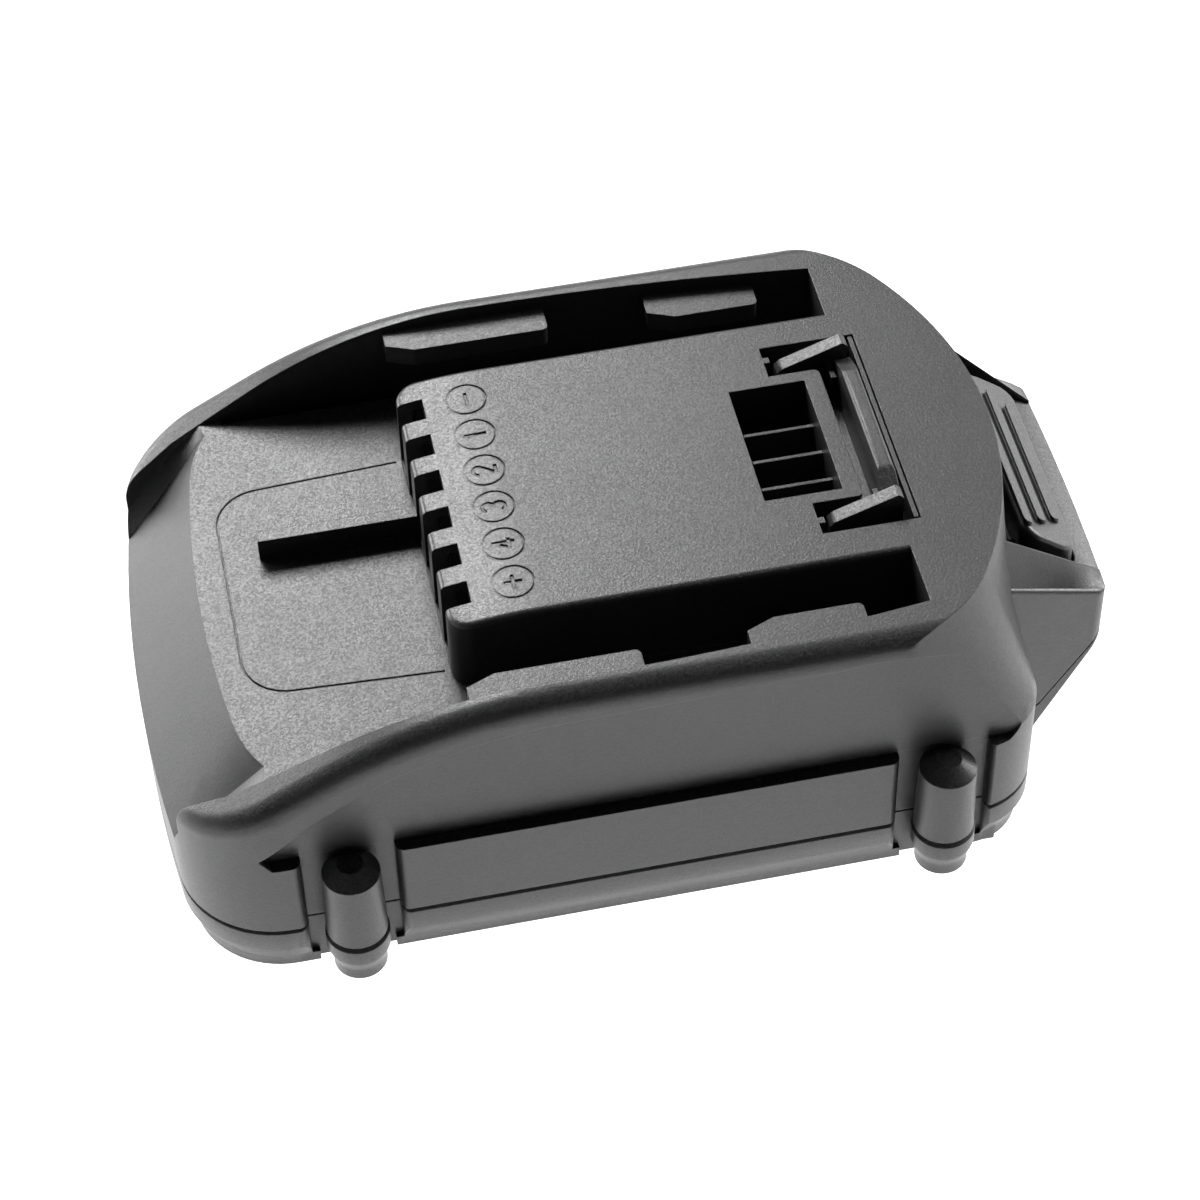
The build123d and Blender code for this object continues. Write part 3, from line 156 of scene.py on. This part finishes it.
class Finish:
    """A material in the making."""

    def __init__(self, name):
        self.material = bpy.data.materials.new(name)
        self.material.use_nodes = True
        self.tree = self.material.node_tree
        self.tree.nodes.clear()
        self.place = self.add("ShaderNodeTexCoord", {}, {}, "Object")

    def add(self, kind, settings, inputs, output=0):
        """Adds a node, sets it up, links or sets its sockets, and returns one output."""
        node = self.tree.nodes.new(kind)
        for key, value in settings.items():
            setattr(node, key, value)
        for key, value in inputs.items():
            if isinstance(value, Value):
                self.tree.links.new(value.socket, node.inputs[key])
            else:
                node.inputs[key].default_value = value
        return Value(self, node.outputs[output])

    def noise(self, size, detail=2.0, roughness=0.5, stretch=(1.0, 1.0, 1.0)):
        """Cloudy noise from 0 to 1, with features of a size in metres."""
        place = self.place
        if stretch != (1.0, 1.0, 1.0):
            place = self.add("ShaderNodeMapping", {}, {"Vector": place, "Scale": stretch})
        inputs = {"Vector": place, "Scale": 1.0 / size, "Detail": detail, "Roughness": roughness}
        return self.add("ShaderNodeTexNoise", {}, inputs, "Fac")

    def cells(self, size):
        """Random number of each small cell, with cells of a size in metres."""
        inputs = {"Vector": self.place, "Scale": 1.0 / size}
        cell = self.add("ShaderNodeTexVoronoi", {}, inputs, "Color")
        return self.add("ShaderNodeSeparateColor", {}, {0: cell}, 0)

    def upward(self):
        """How far the surface faces up, from -1 to 1."""
        normal = self.add("ShaderNodeNewGeometry", {}, {}, "True Normal")
        return self.add("ShaderNodeSeparateXYZ", {}, {0: normal}, "Z")

    def blend(self, share, first, second):
        """Colour that goes from the first to the second as the share goes from 0 to 1."""
        settings = {"data_type": "RGBA"}
        return self.add("ShaderNodeMix", settings, {"Factor": share, 6: first, 7: second}, 2)

    def finish(self, color, roughness, normal=None, **constants):
        """Closes the material with a Principled shader."""
        inputs = {"Base Color": color, "Roughness": roughness}
        if normal is not None:
            inputs["Normal"] = normal
        inputs.update(constants)
        shader = self.add("ShaderNodeBsdfPrincipled", {}, inputs)
        output = self.tree.nodes.new("ShaderNodeOutputMaterial")
        self.tree.links.new(shader.socket, output.inputs["Surface"])
        return self.material

    def bump(self, height, distance, strength=1.0, normal=None):
        """Normal of a surface with a height from 0 to 1, over a distance in metres."""
        inputs = {"Height": height, "Distance": distance, "Strength": strength}
        if normal is not None:
            inputs["Normal"] = normal
        return self.add("ShaderNodeBump", {}, inputs, "Normal")

    def soft_edges(self, radius):
        """Normal that rounds every edge by a small radius."""
        return self.add("ShaderNodeBevel", {"samples": edge_samples}, {"Radius": radius}, "Normal")


def grey(level, tint=0.0):
    """Neutral colour of a level, a little cooler with a tint."""
    return (level * (1.0 - tint), level, level * (1.0 + tint), 1.0)


def moulded_plastic(name, level, sheen_rough, grain, sparkle):
    """Dark moulded plastic: spark-eroded on faces that look up, finer on the walls."""
    m = Finish(name)
    up = m.upward().ramp(0.55, 0.93)
    fine = m.noise(grit_size, 3.0, 0.65)
    speck = m.cells(speck_size)
    flow = m.noise(flow_size, 2.0, 0.5)
    grit = fine * 0.6 + speck * 0.4
    depth = up * 0.7 + 0.3
    spread = (grit - 0.5) * depth * sparkle
    tone = (spread + (flow - 0.5) * 0.12 + 0.5).clamp()
    color = m.blend(tone, grey(level * 0.45, 0.01), grey(level * 1.55, 0.01))
    rough = (sheen_rough + (flow - 0.5) * 0.06 - spread * 0.12).clamp()
    normal = m.soft_edges(edge_radius)
    normal = m.bump(grit * depth, grain_depth, grain, normal)
    return m.finish(color, rough, normal, **{"IOR": 1.49, "Specular IOR Level": 0.5})


def plain_plastic(name, color, rough):
    """Moulded part of the inside, with a faint grain."""
    m = Finish(name)
    fine = m.noise(0.4 * MM, 2.0)
    flow = m.noise(7.0 * MM, 2.0)
    dark = tuple(c * 0.75 for c in color) + (1.0,)
    light = tuple(c * 1.2 for c in color) + (1.0,)
    tone = (fine * 0.4 + flow * 0.6).clamp()
    return m.finish(m.blend(tone, dark, light), (rough + (fine - 0.5) * 0.1).clamp(),
                    m.bump(fine, 0.02 * MM, 0.5))


def metal(name, color, rough, along):
    """Drawn or rolled metal, with fine lines along one axis."""
    m = Finish(name)
    stretch = [1.0, 1.0, 1.0]
    stretch[along] = 0.06
    lines = m.noise(0.12 * MM, 2.0, 0.6, tuple(stretch))
    stain = m.noise(3.0 * MM, 2.0)
    dark = tuple(c * 0.78 for c in color) + (1.0,)
    light = tuple(min(1.0, c * 1.12) for c in color) + (1.0,)
    tone = (lines * 0.5 + stain * 0.5).clamp()
    return m.finish(m.blend(tone, dark, light), (rough + (stain - 0.5) * 0.16 + (lines - 0.5) * 0.1).clamp(),
                    m.bump(lines, 0.004 * MM, 0.6), Metallic=1.0)


def sleeve_film(name):
    """Shrink sleeve of a cell: glossy, a little wavy, with a cloudy tone and fine dust."""
    m = Finish(name)
    wave = m.noise(5.0 * MM, 1.0)
    dust = m.noise(0.5 * MM, 3.0)
    color = m.blend((wave * 0.7 + dust * 0.3).clamp(), (0.07, 0.22, 0.33, 1.0), (0.12, 0.33, 0.46, 1.0))
    return m.finish(color, (0.3 + (dust - 0.5) * 0.15).clamp(), m.bump(wave, 0.1 * MM, 0.4))


def pressed_paper(name, color):
    """Fish paper or label stock, with short fibres."""
    m = Finish(name)
    fibre = m.noise(0.25 * MM, 4.0, 0.7, (1.0, 0.3, 1.0))
    cloud = m.noise(4.0 * MM, 2.0)
    dark = tuple(c * 0.82 for c in color) + (1.0,)
    light = tuple(min(1.0, c * 1.1) for c in color) + (1.0,)
    return m.finish(m.blend((fibre * 0.6 + cloud * 0.4).clamp(), dark, light),
                    (0.7 + (fibre - 0.5) * 0.2).clamp(), m.bump(fibre, 0.02 * MM, 0.6))


def solder_mask(name):
    """Green lacquered board, with copper tracks that show through as a lighter tone."""
    m = Finish(name)
    weave = m.add("ShaderNodeTexWave", {"wave_type": "BANDS", "bands_direction": "X"},
                  {"Vector": m.place, "Scale": 420.0, "Distortion": 3.0, "Detail": 1.0}, "Fac")
    track = weave.ramp(0.62, 0.7) * m.noise(6.0 * MM, 1.0).ramp(0.45, 0.55)
    dust = m.noise(0.5 * MM, 3.0)
    color = m.blend((track * 0.7 + dust * 0.3).clamp(), (0.015, 0.085, 0.035, 1.0), (0.04, 0.2, 0.08, 1.0))
    return m.finish(color, (0.35 + (dust - 0.5) * 0.1).clamp(), m.bump(track, 0.03 * MM, 0.5))


def soft_foam(name):
    """Open-cell foam: a grey mass with pores, whose hollows are painted darker as painted shade."""
    m = Finish(name)
    inputs = {"Vector": m.place, "Scale": 1.0 / (0.5 * MM)}
    pore_and_shade = m.add("ShaderNodeTexVoronoi", {}, inputs, "Distance").ramp(0.1, 0.6)
    # Painted shade: the colour is darker at the pore hollows, where the bump is lowest
    color = m.blend(pore_and_shade, (0.04, 0.04, 0.042, 1.0), (0.14, 0.14, 0.14, 1.0))
    return m.finish(color, (0.95 - pore_and_shade * 0.1).clamp(), m.bump(pore_and_shade, 0.15 * MM, 0.8))


# Materials by the record's slots
finishes = {
    "black_plastic": moulded_plastic("black_moulded_plastic", 0.022, 0.39, 1.3, 3.0),
    "screw_steel": metal("zinc_plated_steel", (0.42, 0.42, 0.43), 0.34, 2),
    "spring_steel": metal("drawn_spring_wire", (0.5, 0.5, 0.52), 0.28, 2),
    "holder_plastic": plain_plastic("holder_plastic", (0.035, 0.035, 0.04), 0.55),
    "insulating_paper": pressed_paper("fish_paper", (0.35, 0.4, 0.42)),
    "cell_sleeve": sleeve_film("cell_sleeve"),
    "nickel": metal("nickel_strip", (0.6, 0.58, 0.53), 0.3, 0),
    "contact_copper": metal("contact_metal", (0.72, 0.52, 0.32), 0.3, 0),
    "board_green": solder_mask("board_solder_mask"),
    "terminal_plastic": plain_plastic("terminal_comb_plastic", (0.028, 0.028, 0.03), 0.5),
    "chip_plastic": plain_plastic("package_plastic", (0.03, 0.03, 0.032), 0.45),
    "foam": soft_foam("foam"),
    "label": pressed_paper("label_stock", (0.14, 0.14, 0.15)),
}
slot_of = {part["node"]: part["material_slot"] for part in frame["record"]["subparts"]}
for name, node in frame["nodes"].items():
    node.data.materials.clear()
    node.data.materials.append(finishes[slot_of[name]])


def new_piece(name, mesh, body, slot):
    """An object at the origin that rides on a body."""
    piece = bpy.data.objects.new(name, mesh)
    scene.collection.objects.link(piece)
    mesh.materials.clear()
    mesh.materials.append(finishes[slot])
    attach(piece, body)
    return piece


def merged_copy(node, name, body):
    """Copy of a CAD node, merged and with its curved faces shaded smooth, which stands for the node."""
    mesh = frame["nodes"][node].data.copy()
    work = bmesh.new()
    work.from_mesh(mesh)
    bmesh.ops.remove_doubles(work, verts=work.verts, dist=merge_distance)
    bmesh.ops.dissolve_limit(work, angle_limit=flat_angle, verts=work.verts, edges=work.edges)
    bmesh.ops.triangulate(work, faces=work.faces)
    work.to_mesh(mesh)
    work.free()
    custom = mesh.attributes.get("custom_normal")
    if custom is not None:
        mesh.attributes.remove(custom)
    mesh.shade_smooth()
    mesh.set_sharp_from_angle(angle=smooth_angle)
    piece = new_piece(name, mesh, body, slot_of[node])
    weights = piece.modifiers.new("weighted_normals", "WEIGHTED_NORMAL")
    weights.keep_sharp = True
    weights.weight = face_weight
    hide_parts(node)
    return piece


def grid_mesh(name, points, closed):
    """Mesh over a grid of points, of shape (rows, columns, 3), whose rows may be closed rings."""
    rows, columns = points.shape[:2]
    index = np.arange(rows * columns).reshape(rows, columns)
    if closed:
        index = np.concatenate([index, index[:, :1]], axis=1)
    quads = np.stack([index[:-1, :-1], index[1:, :-1], index[1:, 1:], index[:-1, 1:]], axis=-1).reshape(-1, 4)
    mesh = bpy.data.meshes.new(name)
    mesh.from_pydata(points.reshape(-1, 3).tolist(), [], quads.tolist())
    work = bmesh.new()
    work.from_mesh(mesh)
    bmesh.ops.remove_doubles(work, verts=work.verts, dist=merge_distance)
    bmesh.ops.holes_fill(work, edges=[e for e in work.edges if e.is_boundary])
    bmesh.ops.recalc_face_normals(work, faces=work.faces)
    work.to_mesh(mesh)
    work.free()
    mesh.shade_smooth()
    mesh.set_sharp_from_angle(angle=smooth_angle)
    return mesh


def coil_spring(name, side):
    """Round wire on a helix: the centre turns at a steady rate, and its height rises by a smooth step
    that is flat near both ends, so that the end coils close. The tube is a circle square to that line."""
    along = np.linspace(0.0, 1.0, spring_steps)
    middle = np.clip((along - spring_end_share) / (1 - 2 * spring_end_share), 0.0, 1.0)
    turn = 2 * math.pi * spring_turns * along
    low = spring_foot + spring_wire * end_room
    high = spring_top - spring_wire * end_room
    closed = closed_pitch * spring_wire * spring_turns * spring_end_share
    ends = np.minimum(along, spring_end_share) + np.maximum(along - 1 + spring_end_share, 0.0)
    height = low + closed * ends / spring_end_share + (high - low - 2 * closed) * middle
    line = np.stack([spring_radius * np.cos(turn), spring_radius * np.sin(turn), height], axis=-1)
    ahead = np.gradient(line, axis=0)
    ahead /= np.linalg.norm(ahead, axis=1, keepdims=True)
    outward = np.stack([np.cos(turn), np.sin(turn), np.zeros_like(turn)], axis=-1)
    across = np.cross(ahead, outward)
    ring = np.linspace(0.0, 2 * math.pi, spring_sides, endpoint=False)
    tube = (outward[:, None] * np.cos(ring)[None, :, None] + across[:, None] * np.sin(ring)[None, :, None])
    points = line[:, None] + tube * spring_wire
    points += np.array([spring_x, side * spring_y, 0.0])
    piece = new_piece(name, grid_mesh(name, points, True), "casing", "spring_steel")
    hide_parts("latch_spring_far" if side > 0 else "latch_spring_near")
    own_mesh(piece)
    return piece


def soft_block(corner_low, corner_high):
    """Points of a pad with rounded edges: a sphere's two angles, each axis raised to a small power."""
    low = np.array(corner_low)
    high = np.array(corner_high)
    around = np.linspace(-math.pi, math.pi, foam_columns)[:-1][None, :]
    rise = np.linspace(-math.pi / 2, math.pi / 2, foam_rows)[:, None]

    def bent(wave):
        return np.sign(wave) * np.abs(wave) ** (2.0 / foam_roundness)

    ball = np.stack([bent(np.cos(rise)) * bent(np.cos(around)), bent(np.cos(rise)) * bent(np.sin(around)),
                     bent(np.sin(rise)) * np.ones_like(around)], axis=-1)
    return (low + high) / 2 + ball * (high - low) / 2


def foam_pads():
    """The two foam strips that press the cells up, each a soft block in its CAD solid's room."""
    low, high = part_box("foam_pads")
    for side, name in ((-1, "foam_near"), (1, "foam_far")):
        y = sorted((side * foam_inner, side * high.y))
        mesh = grid_mesh(name, soft_block((low.x, y[0], low.z), (high.x, y[1], high.z)), True)
        piece = new_piece(name, mesh, "casing", "foam")
        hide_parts("foam_pads")


merged_copy("upper_casing", "upper_shell", "casing")
merged_copy("lower_casing", "lower_shell", "casing")
merged_copy("latch_frame", "latch_moulding", "latch")
merged_copy("release_button", "button_cap", "latch")
coil_spring("spring_near", -1)
coil_spring("spring_far", 1)
foam_pads()


def floor():
    """Wide white floor, which is part of the stage."""
    steps = np.linspace(-floor_reach, floor_reach, 3)
    x, y = np.meshgrid(steps, steps, indexing="ij")
    mesh = grid_mesh("floor", np.stack([x, y, np.zeros_like(x)], axis=-1), False)
    piece = bpy.data.objects.new("floor", mesh)
    scene.collection.objects.link(piece)
    m = Finish("white_floor")
    color = m.blend(m.noise(cloud_size, 1.0), floor_low, floor_high)
    glow = {"Emission Color": white, "Emission Strength": floor_glow}
    mesh.materials.append(m.finish(color, 0.9, **glow))


def area_light(name, place, size, power):
    """Rectangular soft light that looks at the pack."""
    light = bpy.data.lights.new(name, "AREA")
    light.shape = "RECTANGLE"
    light.size, light.size_y = size
    light.energy = power
    holder = bpy.data.objects.new(name, light)
    scene.collection.objects.link(holder)
    holder.location = place
    holder.rotation_mode = "QUATERNION"
    holder.rotation_quaternion = (Vector(lights_aim) - Vector(place)).to_track_quat("-Z", "Y")


def studio():
    """Dim white surroundings, and soft lights behind the pack and at both of its ends."""
    world = bpy.data.worlds.new("studio")
    scene.world = world
    world.use_nodes = True
    background = world.node_tree.nodes["Background"]
    background.inputs["Color"].default_value = white
    background.inputs["Strength"].default_value = world_strength
    for name, place, size, power in soft_lights:
        area_light(name, place, size, power)


def camera():
    """Camera at the photograph's viewing angle."""
    data = bpy.data.cameras.new("camera")
    data.lens = camera_lens
    data.sensor_width = camera_sensor
    data.clip_start = 10 * MM
    holder = bpy.data.objects.new("camera", data)
    scene.collection.objects.link(holder)
    look = (camera_target - camera_place).to_track_quat("-Z", "Y").to_matrix()
    turn = look @ Matrix.Rotation(camera_roll, 3, "Z")
    holder.matrix_world = Matrix.Translation(camera_place) @ turn.to_4x4()
    scene.camera = holder


floor()
studio()
camera()
scene.view_settings.view_transform = "Standard"
